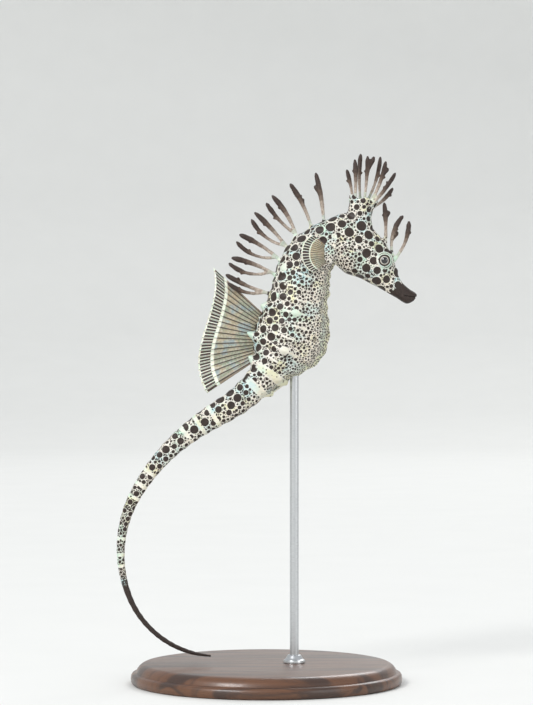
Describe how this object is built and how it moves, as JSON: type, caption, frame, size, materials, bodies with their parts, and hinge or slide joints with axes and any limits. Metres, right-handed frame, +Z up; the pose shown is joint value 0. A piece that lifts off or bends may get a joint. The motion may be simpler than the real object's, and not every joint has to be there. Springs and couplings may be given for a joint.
{
  "type": "seahorse",
  "caption": "Life-size still model of a long-snouted seahorse swimming upright, with skin fronds and a long trailing tail, held on a round display stand.",
  "frame": {"origin": "the middle of the underside of the stand's base, on the table", "axes": "+Z up, +X the way the animal faces, its right side towards -Y"},
  "size_m": [0.089, 0.08, 0.1564],
  "materials": {
    "skin": "cream skin over bony rings, with dark brown round spots",
    "snout_skin": "dark brown skin, slightly moist",
    "eye": "wet and glossy, dark pupil in a pale ringed iris",
    "frond": "beige soft skin, dark brown at the tips",
    "fin": "thin membrane over brown rays, dark bars near the edge",
    "stand_wood": "dark turned hardwood, satin varnish",
    "stand_steel": "brushed rod with a small collar"
  },
  "bodies": {
    "root": {"head": "skin", "coronet": "skin", "neck": "skin", "chest": "skin", "belly": "skin", "hips": "skin", "tail_1": "skin", "tail_2": "skin", "tail_3": "skin", "tail_4": "skin", "tail_5": "skin", "tail_6": "skin", "tail_7": "skin", "snout": "snout_skin", "jaw": "snout_skin", "eye_l": "eye", "eye_r": "eye", "crown_frond_1": "frond", "crown_frond_2": "frond", "crown_frond_3": "frond", "crown_frond_4": "frond", "crown_frond_5": "frond", "crown_frond_6": "frond", "crown_frond_7": "frond", "crown_frond_8": "frond", "crown_frond_9": "frond", "brow_frond_1": "frond", "brow_frond_2": "frond", "brow_frond_3": "frond", "mane_frond_1": "frond", "mane_frond_2": "frond", "mane_frond_3": "frond", "mane_frond_4": "frond", "mane_frond_5": "frond", "mane_frond_6": "frond", "mane_frond_7": "frond", "dorsal_fin": "fin", "pectoral_fin_l": "fin", "pectoral_fin_r": "fin", "anal_fin": "fin", "stand_base": "stand_wood", "stand_collar": "stand_steel", "stand_rod": "stand_steel"}
  },
  "joints": []
}
